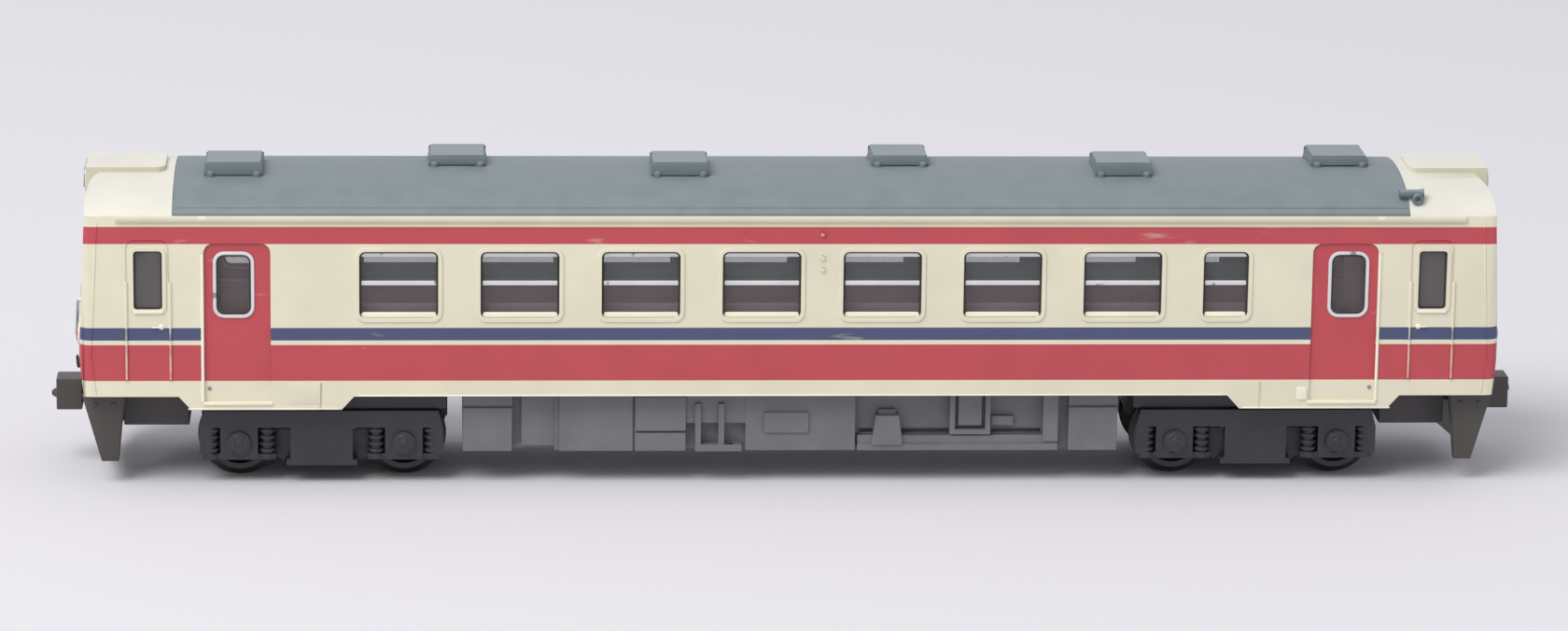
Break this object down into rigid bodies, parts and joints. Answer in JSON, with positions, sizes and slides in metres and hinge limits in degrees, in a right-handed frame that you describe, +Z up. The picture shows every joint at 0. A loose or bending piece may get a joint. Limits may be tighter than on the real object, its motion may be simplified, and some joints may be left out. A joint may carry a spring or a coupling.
{
  "type": "model railway coach",
  "caption": "Model railcar-type passenger coach for 9 mm gauge track: hollow body with cabs at both ends, swivelling bogies with turning wheelsets and sprung couplers.",
  "frame": {"origin": "middle of the coach on its middle line, at the height of the wheel flanges' lowest points", "axes": "+X along the coach towards end 2, +Y across it towards the far side, +Z up"},
  "size_m": [0.1264, 0.0192, 0.0272],
  "materials": {
    "body_paint": "satin paint, cream with red and navy stripes",
    "roof_grey": "matt grey",
    "vent_grey": "matt grey",
    "glazing": "clear, slightly smoky plastic",
    "headlamp_clear": "clear plastic",
    "tail_lamp_red": "clear red plastic",
    "chassis_black": "satin black",
    "seat_brown": "matt dark brown",
    "equipment_grey": "satin grey",
    "bogie_dark": "satin dark grey",
    "coupler_dark": "satin dark grey",
    "steel": "plain steel",
    "wheel_metal": "blackened metal with bright treads"
  },
  "bodies": {
    "root": {"body_shell": "body_paint", "roof_panel": "roof_grey", "side_glazing_near": "glazing", "side_glazing_far": "glazing", "chassis_floor": "chassis_black", "ballast_weight": "steel", "seat_moulding": "seat_brown", "underfloor_equipment": "equipment_grey", "vent_1": "vent_grey", "vent_2": "vent_grey", "vent_3": "vent_grey", "vent_4": "vent_grey", "vent_5": "vent_grey", "vent_6": "vent_grey", "horn": "vent_grey", "end_glazing_1": "glazing", "headlamp_lens_1": "headlamp_clear", "tail_lamp_lens_1": "tail_lamp_red", "bogie_screw_1": "steel", "coupler_box_1": "bogie_dark", "coupler_pin_1": "steel", "coupler_spring_1": "steel", "snow_plough_1": "coupler_dark", "end_glazing_2": "glazing", "headlamp_lens_2": "headlamp_clear", "tail_lamp_lens_2": "tail_lamp_red", "bogie_screw_2": "steel", "coupler_box_2": "bogie_dark", "coupler_pin_2": "steel", "coupler_spring_2": "steel", "snow_plough_2": "coupler_dark"},
    "bogie_1": {"bogie_frame_1": "bogie_dark"},
    "coupler_arm_1": {"coupler_1": "coupler_dark"},
    "bogie_2": {"bogie_frame_2": "bogie_dark"},
    "coupler_arm_2": {"coupler_2": "coupler_dark"},
    "wheelset_1": {"axle_1": "steel", "wheel_1_near": "wheel_metal", "wheel_1_far": "wheel_metal"},
    "wheelset_2": {"axle_2": "steel", "wheel_2_near": "wheel_metal", "wheel_2_far": "wheel_metal"},
    "wheelset_3": {"axle_3": "steel", "wheel_3_near": "wheel_metal", "wheel_3_far": "wheel_metal"},
    "wheelset_4": {"axle_4": "steel", "wheel_4_near": "wheel_metal", "wheel_4_far": "wheel_metal"}
  },
  "joints": [
    {"name": "bogie_1_swivel", "type": "hinge", "parent": "root", "child": "bogie_1", "pos_m": [-0.04, 0, 0.0056], "axis": [0, 0, 1], "range_deg": [-10, 10]},
    {"name": "bogie_2_swivel", "type": "hinge", "parent": "root", "child": "bogie_2", "pos_m": [0.04, 0, 0.0056], "axis": [0, 0, 1], "range_deg": [-10, 10]},
    {"name": "wheelset_1_spin", "type": "hinge", "parent": "bogie_1", "child": "wheelset_1", "pos_m": [-0.047, 0, 0.0036], "axis": [0, 1, 0], "continuous": true},
    {"name": "wheelset_2_spin", "type": "hinge", "parent": "bogie_1", "child": "wheelset_2", "pos_m": [-0.033, 0, 0.0036], "axis": [0, 1, 0], "continuous": true},
    {"name": "wheelset_3_spin", "type": "hinge", "parent": "bogie_2", "child": "wheelset_3", "pos_m": [0.033, 0, 0.0036], "axis": [0, 1, 0], "continuous": true},
    {"name": "wheelset_4_spin", "type": "hinge", "parent": "bogie_2", "child": "wheelset_4", "pos_m": [0.047, 0, 0.0036], "axis": [0, 1, 0], "continuous": true},
    {"name": "coupler_1_swing", "type": "hinge", "parent": "root", "child": "coupler_arm_1", "pos_m": [-0.0542, 0, 0.0063], "axis": [0, 0, 1], "range_deg": [-12, 12], "stiffness_Nm_per_rad": 0.0001},
    {"name": "coupler_2_swing", "type": "hinge", "parent": "root", "child": "coupler_arm_2", "pos_m": [0.0542, 0, 0.0063], "axis": [0, 0, 1], "range_deg": [-12, 12], "stiffness_Nm_per_rad": 0.0001}
  ]
}
